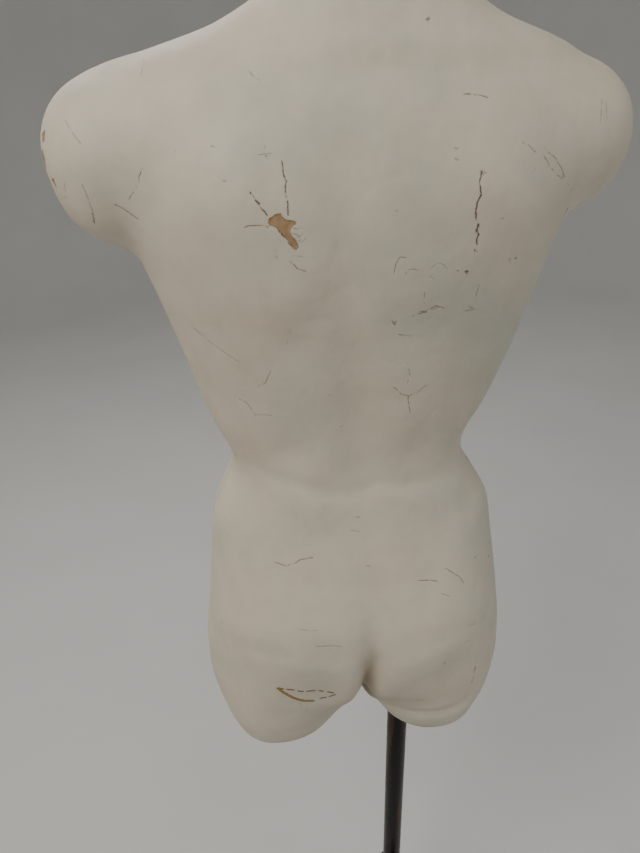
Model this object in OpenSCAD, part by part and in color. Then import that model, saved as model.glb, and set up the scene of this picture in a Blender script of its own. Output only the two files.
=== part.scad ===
// Torso mannequin with arm and thigh stumps on a height-adjustable pole and a round base.
// The origin is on the floor under the pole. +Z is up, the figure faces -Y, and its right is -X.

/* [Torso] */
// Height of the waist above the floor
waist_z = 1080; // [1000:10:1200]
// Width across the waist notch
waist_width = 234; // [220:2:250]
// Width across the hips
hip_width = 368; // [350:2:390]
// Width across the chest under the armpits
chest_width = 390; // [380:2:400]
// Width over both arm stumps
shoulder_width = 486; // [470:2:500]
// Depth of the seat behind the side seam
seat_depth = 116; // [105:1:125]
// Depth of the chest in front of the side seam
chest_depth = 116; // [105:1:125]
// Diameter of the neck
neck_d = 112; // [100:2:120]
// Height of the neck's flat top above the waist
neck_top = 500; // [480:5:520]
// Thickness of the torso's wall
wall = 5; // [4:0.5:6]

/* [Pole] */
// Distance from the pole to the torso's middle
pole_offset = 62; // [55:1:70]
// Outer diameter of the inner pole
pole_d = 27; // [25:0.5:28]
// Wall of both poles
pole_wall = 2; // [1.5:0.5:2.5]
// Height of the outer pole's top above the floor
outer_pole_top = 285; // [270:5:300]

/* [Base] */
// Diameter of the base plate
base_d = 300; // [280:10:340]
// Height of the base plate's rim
base_rim = 8; // [6:1:10]

/* [Hidden] */
$fn = 64;
eps = 0.5;

// Running clearance between a turning or sliding round part and its hole, on the radius
run_gap = 0.05;
// Gap left between glued parts whose faces curve
glue_gap = 1.5;
// Longer than anything in the assembly, for cutting shapes
far = 2000;

// Figure outline
waist_half = waist_width / 2;
hip_half = hip_width / 2;
chest_half = chest_width / 2;
neck_r = neck_d / 2;
seat = seat_depth;
chest = chest_depth;

// Trunk sections from the crotch to the neck: height above the waist, half width, depth in front
// of the seam, depth behind it, and squareness (2 is an ellipse).
TRUNK = [
    [-300, 0.90 * hip_half, 0.64 * chest, 0.83 * seat, 2.3],
    [-260, 0.92 * hip_half, 0.71 * chest, 0.95 * seat, 2.3],
    [-220, 0.93 * hip_half, 0.78 * chest, 1.00 * seat, 2.35],
    [-180, 0.91 * hip_half, 0.82 * chest, 0.97 * seat, 2.4],
    [-140, 0.87 * hip_half, 0.83 * chest, 0.89 * seat, 2.4],
    [-100, 0.84 * hip_half, 0.83 * chest, 0.79 * seat, 2.4],
    [-60, 0.80 * hip_half, 0.80 * chest, 0.70 * seat, 2.4],
    [-35, waist_half + 16, 0.77 * chest, 0.66 * seat, 2.4],
    [-15, waist_half + 4, 0.75 * chest, 0.64 * seat, 2.4],
    [3, waist_half, 0.74 * chest, 0.63 * seat, 2.4],
    [20, waist_half + 5, 0.74 * chest, 0.63 * seat, 2.4],
    [40, waist_half + 14, 0.76 * chest, 0.64 * seat, 2.4],
    [70, 0.73 * chest_half, 0.81 * chest, 0.67 * seat, 2.4],
    [110, 0.79 * chest_half, 0.89 * chest, 0.73 * seat, 2.4],
    [150, 0.85 * chest_half, 0.96 * chest, 0.80 * seat, 2.4],
    [190, 0.91 * chest_half, 1.00 * chest, 0.87 * seat, 2.4],
    [230, 0.97 * chest_half, 0.98 * chest, 0.90 * seat, 2.4],
    [265, 0.99 * chest_half, 0.90 * chest, 0.89 * seat, 2.4],
    [298, 0.98 * chest_half, 0.78 * chest, 0.83 * seat, 2.3],
    [323, 0.96 * chest_half, 0.66 * chest, 0.76 * seat, 2.15],
    [341, 0.91 * chest_half, 0.57 * chest, 0.70 * seat, 2.05],
    [355, 0.83 * chest_half, 0.51 * chest, 0.66 * seat, 2.0],
    [369, 0.68 * chest_half, 0.47 * chest, 0.61 * seat, 2.0],
    [382, 0.53 * chest_half, 0.45 * chest, 0.57 * seat, 2.0],
    [397, neck_r + 19, neck_r - 5, neck_r + 5, 2.0],
    [414, neck_r + 9, neck_r - 4, neck_r + 2, 2.0],
    [432, neck_r + 1, neck_r - 1, neck_r, 2.0],
    [465, neck_r, neck_r, neck_r, 2.0],
    [520, neck_r, neck_r, neck_r, 2.0]
];
trunk_bottom = -284;
crotch_round = 30;

// Thigh stump sections: height above the waist, half width, front depth, back depth, squareness.
THIGH = [
    [-400, 60, 66, 74, 2.2],
    [-340, 71, 74, 88, 2.2],
    [-290, 78, 78, 97, 2.25],
    [-240, 72, 74, 92, 2.3],
    [-200, 58, 62, 78, 2.3]
];
thigh_x = 93;
thigh_top = -205;
thigh_round = 58;
left_thigh_bottom = -385;
right_thigh_bottom = -389;

// Arm stump: centre above the waist, and its half sizes
arm_z = 284;
arm_reach = 64;
arm_depth = 64;
arm_height = 67;
arm_x = shoulder_width / 2 - arm_reach;
shoulder_x = 0.55 * chest_half;
shoulder_z = 312;
shoulder_r = 50;
shoulder_depth = 62;

// Cleft between the buttocks
cleft_top = -150;
cleft_bottom = -300;
cleft_r = 9;
// How far its line lies outside the seat, at the top end and lower down
cleft_top_out = 8;
cleft_out = 2;

// Number of points around the outer and the inner surface
outer_sides = 44;
inner_sides = 32;

// Pole and the socket that holds the torso
pole_r = pole_d / 2;
bore_r = pole_r + run_gap;
socket_r = pole_r + 3.5;
socket_bottom = waist_z - 372;
socket_top = waist_z - 232;
cap_h = 4;
plug_head = 8;
plug_depth = 20;
inner_pole_bottom = 90;
inner_pole_top = socket_top - plug_head - 0.2;
pole_hole_r = socket_r + 1;

// Boards glued inside the torso
board_h = 18;
hip_board_z = waist_z - 262;
thigh_board_z = waist_z - 338;
thigh_board_h = 15;
neck_board_h = 20;

// Flange under the hip board
flange_r = 40;
flange_h = 4;
flange_screw_circle = 29;
flange_screw_r = 2.2;
flange_screw_length = 18;

// Screw that locks the torso on the pole
lock_z = waist_z - 300;
lock_r = 4;
lock_tip_y = pole_r + 0.3;
lock_head_y = 79;
lock_head_r = 12;
lock_head_h = 12;
lock_boss_r = 9;
lock_boss_y = 32;
lock_hole_r = 7;

// Outer pole, bush and clamp
outer_r = pole_r + pole_wall + 1.5;
outer_bore_r = outer_r - pole_wall;
bush_sleeve = 20;
bush_flange = 3;
collar_r = outer_r + 5;
collar_top = outer_pole_top - 6;
collar_h = 44;
clamp_z = outer_pole_top - 32;
clamp_r = 5;
clamp_boss_r = 10;
clamp_boss_y = 34;
clamp_tip_y = pole_r + 0.3;
knob_y = 40;
knob_h = 22;
knob_r = 18;
knob_lobes = 5;
// Thickness of the knob beyond the stud's end
knob_end = 6;
glide_head = 10;

// Base
felt_h = 3;
felt_r = base_d / 2 - 4;
plate_top = felt_h + 11;
seat_r = 60;
hub_flange_r = 44;
hub_flange_h = 8;
hub_r = 25;
hub_top = plate_top + 56;
hub_floor = plate_top + hub_flange_h;
bolt_circle = 34;
bolt_r = 3;
bolt_length = 16;
set_screw_z = hub_floor + 28;
set_screw_r = 4;

// Neck cap
cap_rim_r = neck_r + 1.5;
neck_cap_h = 7;
cap_screw_r = 2.5;
cap_screw_head_r = 5.5;
cap_screw_seat = 3.5;
cap_screw_length = 20;

// Height of a loft's rows either side of h, as the index of the lower one
function lower_row(rows, h, i = 0) =
    i >= len(rows) - 2 || h < rows[i + 1][0] ? i : lower_row(rows, h, i + 1);

// Slope of column k at row i, from the rows either side
function row_slope(rows, i, k) =
    let (a = max(i - 1, 0), b = min(i + 1, len(rows) - 1))
    (rows[b][k] - rows[a][k]) / (rows[b][0] - rows[a][0]);

// Column k at height h, on a smooth cubic through the rows
function column(rows, h, k) =
    let (
        i = lower_row(rows, h),
        step = rows[i + 1][0] - rows[i][0],
        t = (h - rows[i][0]) / step,
        m0 = row_slope(rows, i, k) * step,
        m1 = row_slope(rows, i + 1, k) * step
    )
    (2 * t ^ 3 - 3 * t ^ 2 + 1) * rows[i][k] + (t ^ 3 - 2 * t ^ 2 + t) * m0
    + (3 * t ^ 2 - 2 * t ^ 3) * rows[i + 1][k] + (t ^ 3 - t ^ 2) * m1;

function signed_power(v, p) = sign(v) * abs(v) ^ p;

// Outline of the section at height h, moved inwards by inset
function section(rows, h, inset, sides) =
    let (
        p = 2 / column(rows, h, 4),
        half = column(rows, h, 1) - inset,
        front = column(rows, h, 2) - inset,
        back = column(rows, h, 3) - inset
    )
    [for (i = [0:sides - 1])
        let (a = 360 * i / sides)
        [half * signed_power(cos(a), p), (sin(a) < 0 ? front : back) * signed_power(sin(a), p)]];

// Closed solid through the sections at the heights in levels, whose bottom edge has a rounding
module loft(rows, levels, inset, rounding, sides) {
    rings = len(levels);
    bottom = levels[0];
    points = [for (h = levels)
        let (
            rise = min(h - bottom, rounding),
            edge = rounding - sqrt(rounding ^ 2 - (rounding - rise) ^ 2)
        )
        for (p = section(rows, h, inset + edge, sides)) [p[0], p[1], h]];
    walls = [for (r = [0:rings - 2], i = [0:sides - 1])
        let (j = (i + 1) % sides)
        [r * sides + i, (r + 1) * sides + i, (r + 1) * sides + j, r * sides + j]];
    floor_face = [for (i = [0:sides - 1]) i];
    top_face = [for (i = [sides - 1:-1:0]) (rings - 1) * sides + i];
    polyhedron(points, concat([floor_face], walls, [top_face]));
}

// Levels that follow a rounded bottom edge
function edge_levels(bottom, rounding) =
    [for (a = [0:15:75]) bottom + rounding * (1 - cos(a))];

module trunk(inset, sides) {
    bottom = trunk_bottom + inset;
    levels = concat(
        edge_levels(bottom, crotch_round),
        [for (h = [bottom + crotch_round:16:-60]) h],
        [for (h = [-50:10:60]) h],
        [for (h = [78:18:312]) h],
        [for (h = [324:7:408]) h],
        [424, 444, neck_top + (inset > 0 ? eps : 0)]
    );
    loft(TRUNK, levels, inset, crotch_round, sides);
}

module thigh(side, bottom, inset, sides) {
    start = bottom + inset;
    levels = concat(
        edge_levels(start, thigh_round),
        [for (h = [start + thigh_round:22:thigh_top]) h]
    );
    translate([side * thigh_x, 0, 0])
        loft(THIGH, levels, inset, thigh_round, sides);
}

// Rounded arm stump, drawn out of the shoulder inside the trunk
module arm(side, inset) {
    hull() {
        translate([side * arm_x, 0, arm_z])
            scale([arm_reach - inset, arm_depth - inset, arm_height - inset])
            sphere(1, $fn = 36);
        translate([side * shoulder_x, 0, shoulder_z])
            scale([shoulder_r - inset, shoulder_depth - inset, shoulder_r - inset])
            sphere(1, $fn = 36);
    }
}

module cleft(inset) {
    hull() {
        for (h = [cleft_top, (cleft_top + cleft_bottom) / 2, cleft_bottom]) {
            out = h == cleft_top ? cleft_top_out : cleft_out;
            translate([0, column(TRUNK, h, 3) + out, h])
                sphere(cleft_r + inset, $fn = 16);
        }
    }
}

// The whole figure, moved inwards by inset, at its place on the pole
module figure(inset, sides) {
    translate([pole_offset, 0, waist_z])
        difference() {
            union() {
                trunk(inset, sides);
                thigh(1, left_thigh_bottom, inset, sides);
                thigh(-1, right_thigh_bottom, inset, sides);
                arm(1, inset);
                arm(-1, inset);
            }
            cleft(inset);
        }
}

// Everything on one side of the seam plane: side is 1 for the back and -1 for the front
module half_space(side) {
    translate([-far / 2, side > 0 ? 0 : -far, 0])
        cube(far);
}

// Everything between heights low and high
module slab(low, high) {
    translate([-far / 2, -far / 2, low])
        cube([far, far, high - low]);
}

// Hole for the socket through the sole of the right thigh stump
module sole_hole() {
    translate([0, 0, waist_z + right_thigh_bottom - eps])
        cylinder(50, r = pole_hole_r);
}

// Half of the hollow figure. resize with no sizes keeps the half as it is, in one mesh.
module shell(side) {
    resize([0, 0, 0])
        difference() {
            intersection() {
                figure(0, outer_sides);
                half_space(side);
            }
            figure(wall, inner_sides);
            sole_hole();
            lock_axis()
                cylinder(far, r = lock_hole_r);
        }
}

module torso_back_shell() {
    color("antiquewhite")
        shell(1);
}

module torso_front_shell() {
    color("antiquewhite")
        shell(-1);
}

// Cloth strips glued inside along the seam, from above the hips to under the neck board
module seam_strips() {
    width = 24;
    thickness = 2;
    gap = 0.5;
    clearance = 2;
    strip_start = -190;
    color("burlywood")
        resize([0, 0, 0])
        intersection() {
            difference() {
                figure(wall + gap, inner_sides);
                figure(wall + gap + thickness, inner_sides);
                slab(0, waist_z + strip_start);
                slab(waist_z + neck_top - neck_board_h - clearance, far);
            }
            translate([-far / 2, -width / 2, 0])
                cube([far, width, far]);
        }
}

module neck_board() {
    color("peru")
        translate([pole_offset, 0, waist_z + neck_top - neck_board_h])
        difference() {
            cylinder(neck_board_h, r = neck_r - wall - glue_gap);
            translate([0, 0, -eps])
                cylinder(neck_board_h + 1, r = cap_screw_r);
        }
}

// Low turned cap with a bevelled rim and a sunk seat for its screw
module neck_cap() {
    bevel = 3;
    sink_r = cap_screw_head_r + 0.5;
    color("dimgray")
        translate([pole_offset, 0, waist_z + neck_top])
        rotate_extrude()
        polygon([
            [cap_screw_r, 0], [cap_rim_r, 0], [cap_rim_r, neck_cap_h - bevel],
            [cap_rim_r - 2 * bevel, neck_cap_h], [sink_r, neck_cap_h],
            [sink_r, cap_screw_seat], [cap_screw_r, cap_screw_seat]
        ]);
}

// Round-headed wood screw pointing down from z = 0, its head above
module round_screw(shaft_r, length, head_r) {
    translate([0, 0, -length])
        cylinder(length, r = shaft_r);
    intersection() {
        cylinder(head_r, r = head_r);
        translate([0, 0, -head_r * 0.75])
            sphere(head_r * 1.25);
    }
}

module neck_cap_screw() {
    color("silver")
        translate([pole_offset, 0, waist_z + neck_top + cap_screw_seat])
        round_screw(cap_screw_r, cap_screw_length, cap_screw_head_r);
}

// Board across the hips. Its edge follows the wall, with a notch behind for the cleft.
module hip_board() {
    height = hip_board_z - waist_z;
    wall_lean = 6;
    notch_r = 26;
    color("peru")
        difference() {
            translate([pole_offset, 0, hip_board_z])
                linear_extrude(board_h)
                polygon(section(TRUNK, height, wall + glue_gap + wall_lean, inner_sides));
            translate([pole_offset, column(TRUNK, height, 3), hip_board_z - eps])
                cylinder(board_h + 1, r = notch_r);
            translate([0, 0, hip_board_z - eps])
                cylinder(board_h + 1, r = socket_r);
            flange_screw_places(hip_board_z)
                cylinder(flange_screw_length - flange_h, r = flange_screw_r);
        }
}

// Board across the right thigh stump, which steadies the socket's lower end
module thigh_board() {
    height = thigh_board_z - waist_z;
    wall_lean = 2.5;
    color("peru")
        difference() {
            translate([pole_offset - thigh_x, 0, thigh_board_z])
                linear_extrude(thigh_board_h)
                polygon(section(THIGH, height, wall + glue_gap + wall_lean, inner_sides));
            translate([0, 0, thigh_board_z - eps])
                cylinder(thigh_board_h + 1, r = socket_r);
        }
}

module socket_tube() {
    color("slategray")
        difference() {
            translate([0, 0, socket_bottom])
                cylinder(socket_top - socket_bottom, r = socket_r);
            translate([0, 0, socket_bottom - eps])
                cylinder(socket_top - socket_bottom + 1, r = bore_r);
            lock_axis()
                cylinder(lock_head_y, r = lock_r + run_gap);
        }
}

module socket_cap() {
    color("slategray")
        translate([0, 0, socket_top])
        cylinder(cap_h, r = socket_r);
}

// Four places around the socket at height z
module flange_screw_places(z) {
    for (a = [45:90:315]) {
        translate([flange_screw_circle * cos(a), flange_screw_circle * sin(a), z])
            children();
    }
}

module socket_flange() {
    z = hip_board_z - flange_h;
    color("slategray")
        difference() {
            translate([0, 0, z])
                cylinder(flange_h, r = flange_r);
            translate([0, 0, z - eps])
                cylinder(flange_h + 1, r = socket_r);
            flange_screw_places(z - eps)
                cylinder(flange_h + 1, r = flange_screw_r);
        }
}

module flange_screws() {
    color("silver")
        flange_screw_places(hip_board_z - flange_h)
        rotate([180, 0, 0])
        round_screw(flange_screw_r, flange_screw_length, 2 * flange_screw_r);
}

// Turns +Z to point out of the figure's front along the lock screw
module lock_axis() {
    translate([0, 0, lock_z])
        rotate([90, 0, 0])
        children();
}

module lock_boss() {
    color("slategray")
        difference() {
            lock_axis()
                cylinder(lock_boss_y, r = lock_boss_r);
            lock_axis()
                cylinder(lock_boss_y + 1, r = lock_r + run_gap);
            translate([0, 0, lock_z - 2 * lock_boss_r])
                cylinder(4 * lock_boss_r, r = socket_r);
        }
}

// Round head with grip grooves
module grooved_head(radius, height, grooves, groove_r) {
    circle_r = radius + 0.4 * groove_r;
    difference() {
        cylinder(height, r = radius);
        for (a = [0:360 / grooves:359]) {
            translate([circle_r * cos(a), circle_r * sin(a), -eps])
                cylinder(height + 1, r = groove_r, $fn = 16);
        }
    }
}

module torso_lock_screw() {
    grooves = 16;
    groove_r = 1.5;
    color("silver")
        lock_axis() {
            translate([0, 0, lock_tip_y])
                cylinder(lock_head_y - lock_tip_y, r = lock_r);
            translate([0, 0, lock_head_y])
                grooved_head(lock_head_r, lock_head_h, grooves, groove_r);
        }
}

module inner_pole() {
    color("#1c1512")
        difference() {
            translate([0, 0, inner_pole_bottom])
                cylinder(inner_pole_top - inner_pole_bottom, r = pole_r);
            translate([0, 0, inner_pole_bottom - eps])
                cylinder(inner_pole_top - inner_pole_bottom + 1, r = pole_r - pole_wall);
        }
}

module pole_top_plug() {
    color("#2a2a2a")
        translate([0, 0, inner_pole_top]) {
            cylinder(plug_head, r = pole_r);
            translate([0, 0, -plug_depth])
                cylinder(plug_depth, r = pole_r - pole_wall);
        }
}

// Plug at the inner pole's foot, whose head slides in the outer pole
module pole_glide() {
    color("#2a2a2a")
        translate([0, 0, inner_pole_bottom]) {
            cylinder(plug_depth, r = pole_r - pole_wall);
            translate([0, 0, -glide_head])
                cylinder(glide_head, r = outer_bore_r - run_gap);
        }
}

// Turns +Z to point backwards along the clamp screw
module clamp_axis() {
    translate([0, 0, clamp_z])
        rotate([-90, 0, 0])
        children();
}

module outer_pole() {
    color("#1c1512")
        difference() {
            translate([0, 0, hub_floor])
                cylinder(outer_pole_top - hub_floor, r = outer_r);
            translate([0, 0, hub_floor - eps])
                cylinder(outer_pole_top - hub_floor + 1, r = outer_bore_r);
            clamp_axis()
                cylinder(outer_r + 1, r = clamp_r + run_gap);
        }
}

module pole_bush() {
    color("#2a2a2a")
        translate([0, 0, outer_pole_top])
        difference() {
            union() {
                cylinder(bush_flange, r = outer_r);
                translate([0, 0, -bush_sleeve])
                    cylinder(bush_sleeve, r = outer_bore_r);
            }
            translate([0, 0, -bush_sleeve - eps])
                cylinder(bush_sleeve + bush_flange + 1, r = bore_r);
        }
}

module clamp_collar() {
    color("#1c1512")
        difference() {
            union() {
                translate([0, 0, collar_top - collar_h])
                    cylinder(collar_h, r = collar_r);
                clamp_axis()
                    cylinder(clamp_boss_y, r = clamp_boss_r);
            }
            translate([0, 0, collar_top - collar_h - eps])
                cylinder(collar_h + 1, r = outer_r);
            clamp_axis()
                cylinder(clamp_boss_y + 1, r = clamp_r + run_gap);
        }
}

module clamp_stud() {
    color("silver")
        clamp_axis()
        translate([0, 0, clamp_tip_y])
        cylinder(knob_y + knob_h - knob_end - clamp_tip_y, r = clamp_r);
}

// Lobed hand knob on the clamp stud
module clamp_knob() {
    lobe_r = 7;
    neck_h = 6;
    color("#202020")
        clamp_axis()
        translate([0, 0, knob_y])
        difference() {
            union() {
                cylinder(knob_h, r = knob_r - lobe_r / 2);
                for (a = [90:360 / knob_lobes:449]) {
                    translate([knob_r * cos(a), knob_r * sin(a), neck_h])
                        cylinder(knob_h - neck_h, r = lobe_r);
                }
            }
            translate([0, 0, -eps])
                cylinder(knob_h - knob_end + eps, r = clamp_r);
        }
}

module base_hub() {
    chamfer = 2;
    color("#1c1512")
        difference() {
            translate([0, 0, plate_top])
                rotate_extrude()
                polygon([
                    [0, 0], [hub_flange_r, 0], [hub_flange_r, hub_flange_h - chamfer],
                    [hub_flange_r - chamfer, hub_flange_h], [hub_r, hub_flange_h],
                    [hub_r, hub_top - plate_top - chamfer], [hub_r - chamfer, hub_top - plate_top],
                    [0, hub_top - plate_top]
                ]);
            translate([0, 0, hub_floor])
                cylinder(hub_top, r = outer_r);
            bolt_places(plate_top - eps)
                cylinder(hub_flange_h + 1, r = bolt_r);
            translate([0, 0, set_screw_z])
                rotate([-90, 0, 0])
                cylinder(hub_r + 1, r = set_screw_r);
        }
}

module hub_set_screw() {
    hex_r = 2.2;
    length = 10;
    color("silver")
        translate([0, outer_r, set_screw_z])
        rotate([-90, 0, 0])
        difference() {
            cylinder(length, r = set_screw_r);
            translate([0, 0, length - 4])
                cylinder(5, r = hex_r, $fn = 6);
        }
}

module bolt_places(z) {
    for (a = [0:90:270]) {
        translate([bolt_circle * cos(a), bolt_circle * sin(a), z])
            children();
    }
}

// Cap-head bolts that hold the hub on the base plate
module hub_bolts() {
    head_r = 5;
    head_h = 6;
    hex_r = 2.6;
    color("silver")
        bolt_places(hub_floor)
        difference() {
            union() {
                cylinder(head_h, r = head_r);
                translate([0, 0, -bolt_length])
                    cylinder(bolt_length, r = bolt_r);
            }
            translate([0, 0, head_h - 3])
                cylinder(4, r = hex_r, $fn = 6);
        }
}

module base_plate() {
    rim_r = base_d / 2;
    chamfer = 2;
    color("#1c1512")
        difference() {
            rotate_extrude($fn = 128)
                polygon([
                    [0, felt_h], [rim_r - 1, felt_h], [rim_r, felt_h + 1],
                    [rim_r, felt_h + base_rim - chamfer], [rim_r - chamfer, felt_h + base_rim],
                    [seat_r, plate_top], [0, plate_top]
                ]);
            bolt_places(hub_floor - bolt_length)
                cylinder(bolt_length, r = bolt_r);
        }
}

module base_felt() {
    color("#30302e")
        cylinder(felt_h, r = felt_r);
}

torso_back_shell();
torso_front_shell();
seam_strips();
neck_board();
neck_cap();
neck_cap_screw();
hip_board();
thigh_board();
socket_tube();
socket_cap();
socket_flange();
flange_screws();
lock_boss();
torso_lock_screw();
inner_pole();
pole_top_plug();
pole_glide();
outer_pole();
pole_bush();
clamp_collar();
clamp_stud();
clamp_knob();
base_hub();
hub_set_screw();
hub_bolts();
base_plate();
base_felt();
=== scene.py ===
"""Looks of the torso mannequin: a papier-mache figure in aged cream paint on a dark pole and base."""

import math

import bmesh
import bpy
import numpy as np
import openvdb
from mathutils import Matrix, Vector


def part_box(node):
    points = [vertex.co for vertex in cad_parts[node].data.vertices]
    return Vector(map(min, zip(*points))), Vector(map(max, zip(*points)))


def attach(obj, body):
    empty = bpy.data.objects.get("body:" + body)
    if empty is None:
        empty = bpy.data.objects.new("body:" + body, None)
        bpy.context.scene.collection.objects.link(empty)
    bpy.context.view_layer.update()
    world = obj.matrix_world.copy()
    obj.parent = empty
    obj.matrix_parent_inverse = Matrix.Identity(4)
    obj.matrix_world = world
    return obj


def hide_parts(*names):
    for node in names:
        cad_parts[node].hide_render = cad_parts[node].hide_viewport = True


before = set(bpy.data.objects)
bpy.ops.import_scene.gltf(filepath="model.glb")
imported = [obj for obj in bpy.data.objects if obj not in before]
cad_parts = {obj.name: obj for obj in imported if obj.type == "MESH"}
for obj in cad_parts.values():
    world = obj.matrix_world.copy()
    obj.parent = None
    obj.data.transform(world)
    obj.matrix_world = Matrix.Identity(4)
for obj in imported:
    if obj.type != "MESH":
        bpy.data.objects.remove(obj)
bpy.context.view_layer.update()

MM = 0.001
rng = np.random.default_rng(11)


# ---------------------------------------------------------------- camera


def add_camera():
    """The camera behind the figure, close to it, looking down and slightly rolled."""
    place = Vector((0.152, 0.579, 1.412))
    pitch = math.radians(28.0)
    yaw = math.radians(5.77)
    roll = math.radians(1.91)
    level = Vector((-math.sin(yaw), -math.cos(yaw), 0.0))
    right = Vector((-math.cos(yaw), math.sin(yaw), 0.0))
    forward = level * math.cos(pitch) - Vector((0.0, 0.0, math.sin(pitch)))
    up = right.cross(forward)
    rolled_right = right * math.cos(roll) - up * math.sin(roll)
    rolled_up = right * math.sin(roll) + up * math.cos(roll)
    data = bpy.data.cameras.new("camera")
    data.lens = 27.0
    data.sensor_width = 36.0
    data.clip_start = 0.02
    camera = bpy.data.objects.new("camera", data)
    bpy.context.collection.objects.link(camera)
    axes = Matrix((rolled_right, rolled_up, -forward)).transposed()
    camera.matrix_world = Matrix.Translation(place) @ axes.to_4x4()
    bpy.context.scene.camera = camera


add_camera()


# ---------------------------------------------------------------- materials


class Shader:
    """A node material, built with short calls."""

    def __init__(self, name):
        self.material = bpy.data.materials.new(name)
        self.material.use_nodes = True
        self.tree = self.material.node_tree
        self.tree.nodes.clear()
        output = self.tree.nodes.new("ShaderNodeOutputMaterial")
        self.surface = self.tree.nodes.new("ShaderNodeBsdfPrincipled")
        self.tree.links.new(self.surface.outputs[0], output.inputs["Surface"])
        self.position = self.node("ShaderNodeTexCoord").outputs["Object"]

    def node(self, kind, **settings):
        made = self.tree.nodes.new(kind)
        for key, value in settings.items():
            setattr(made, key, value)
        return made

    def feed(self, socket, value):
        """Links a socket, or sets it to a plain value."""
        if isinstance(value, bpy.types.NodeSocket):
            self.tree.links.new(value, socket)
        else:
            socket.default_value = value

    def set(self, **values):
        """Feeds the surface's inputs: an underscore stands for a space."""
        for key, value in values.items():
            name = key.replace("_", " ")
            self.feed(self.surface.inputs[name], value)

    def math(self, operation, a, b=0.0):
        made = self.node("ShaderNodeMath", operation=operation)
        self.feed(made.inputs[0], a)
        self.feed(made.inputs[1], b)
        return made.outputs[0]

    def times(self, a, b):
        return self.math("MULTIPLY", a, b)

    def stretch(self, scale, offset=(0.0, 0.0, 0.0)):
        """Object position with its axes scaled."""
        made = self.node("ShaderNodeMapping")
        self.feed(made.inputs["Vector"], self.position)
        made.inputs["Scale"].default_value = scale
        made.inputs["Location"].default_value = offset
        return made.outputs[0]

    def noise(self, scale, detail=3.0, rough=0.5, vector=None, distortion=0.0):
        made = self.node("ShaderNodeTexNoise")
        self.feed(made.inputs["Vector"], vector or self.position)
        made.inputs["Scale"].default_value = scale
        made.inputs["Detail"].default_value = detail
        made.inputs["Roughness"].default_value = rough
        made.inputs["Distortion"].default_value = distortion
        return made.outputs["Fac"]

    def cells(self, scale):
        made = self.node("ShaderNodeTexVoronoi")
        self.feed(made.inputs["Vector"], self.position)
        made.inputs["Scale"].default_value = scale
        return made.outputs["Distance"]

    def ramp(self, value, low, high, out_low=0.0, out_high=1.0):
        """value from low to high, smoothly mapped to out_low to out_high and held beyond."""
        made = self.node("ShaderNodeMapRange", interpolation_type="SMOOTHSTEP", clamp=True)
        self.feed(made.inputs["Value"], value)
        made.inputs["From Min"].default_value = low
        made.inputs["From Max"].default_value = high
        made.inputs["To Min"].default_value = out_low
        made.inputs["To Max"].default_value = out_high
        return made.outputs["Result"]

    def mix(self, factor, a, b):
        made = self.node("ShaderNodeMix", data_type="RGBA", clamp_factor=True)
        self.feed(made.inputs[0], factor)
        self.feed(made.inputs[6], a)
        self.feed(made.inputs[7], b)
        return made.outputs[2]

    def attribute(self, name):
        return self.node("ShaderNodeAttribute", attribute_name=name).outputs["Fac"]

    def bump(self, height, distance, strength=1.0, normal=None):
        made = self.node("ShaderNodeBump")
        self.feed(made.inputs["Height"], height)
        made.inputs["Distance"].default_value = distance
        made.inputs["Strength"].default_value = strength
        if normal is not None:
            self.feed(made.inputs["Normal"], normal)
        return made.outputs["Normal"]


def tone(red, green, blue):
    """A colour given as screen values from 0 to 255."""
    def linear(v):
        v = v / 255.0
        return v / 12.92 if v <= 0.04045 else ((v + 0.055) / 1.055) ** 2.4
    return (linear(red), linear(green), linear(blue), 1.0)


def stained_cream(s):
    """Cream with pink and green-grey clouds, specks, dust and a seam line, and painted shade in the
    hollows and underneath.
    """
    base = tone(203, 193, 174)
    stain = s.ramp(s.noise(7.0, 4.0, 0.55), 0.42, 0.66)
    pink = s.mix(s.times(stain, 0.5), base, tone(205, 186, 166))
    shade = s.ramp(s.noise(5.0, 5.0, 0.6, s.stretch((1, 1, 1), (3.1, 1.7, 5.3))), 0.46, 0.70)
    cool = s.mix(s.times(shade, 0.55), pink, tone(178, 179, 164))
    cloud = s.ramp(s.noise(38.0, 5.0, 0.62), 0.35, 0.72)
    mottled = s.mix(s.times(cloud, 0.16), cool, tone(160, 148, 128))
    speck = s.ramp(s.cells(260.0), 0.10, 0.05)
    speck_where = s.ramp(s.noise(60.0, 2.0, 0.5), 0.50, 0.66)
    specked = s.mix(s.times(s.times(speck, speck_where), 0.45), mottled, tone(112, 92, 70))
    # Darker where the vertex attribute says: dust on upward faces, a dark seam line, and painted
    # shade in the cleft, the crotch and under the stumps
    return s.mix(s.times(s.attribute("dust_and_painted_shade"), 0.55), specked, tone(120, 106, 86))


def hairline_cracks(s, under, jitter):
    """The cracks over a colour: the new colour, and where the cracks are."""
    sway = s.times(s.math("SUBTRACT", s.noise(140.0, 2.0, 0.5), 0.5), 5.0)
    wander = s.math("ADD", sway, jitter)
    across = s.math("ABSOLUTE", s.math("ADD", s.attribute("line_across"), wander))
    near = s.ramp(s.attribute("line_near"), 1.7, 1.1)
    broken = s.ramp(s.noise(190.0, 3.0, 0.6, s.stretch((1, 1, 1), (2.0, 6.0, 4.0))), 0.38, 0.52)
    drawn = s.times(s.times(near, broken), s.attribute("line_dark"))
    crack = s.times(s.ramp(across, 1.4, 0.5), drawn)
    halo = s.times(s.ramp(across, 4.0, 0.8), drawn)
    haloed = s.mix(s.times(halo, 0.16), under, tone(168, 150, 124))
    return s.mix(s.times(crack, 0.9), haloed, tone(70, 58, 46)), crack


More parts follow.
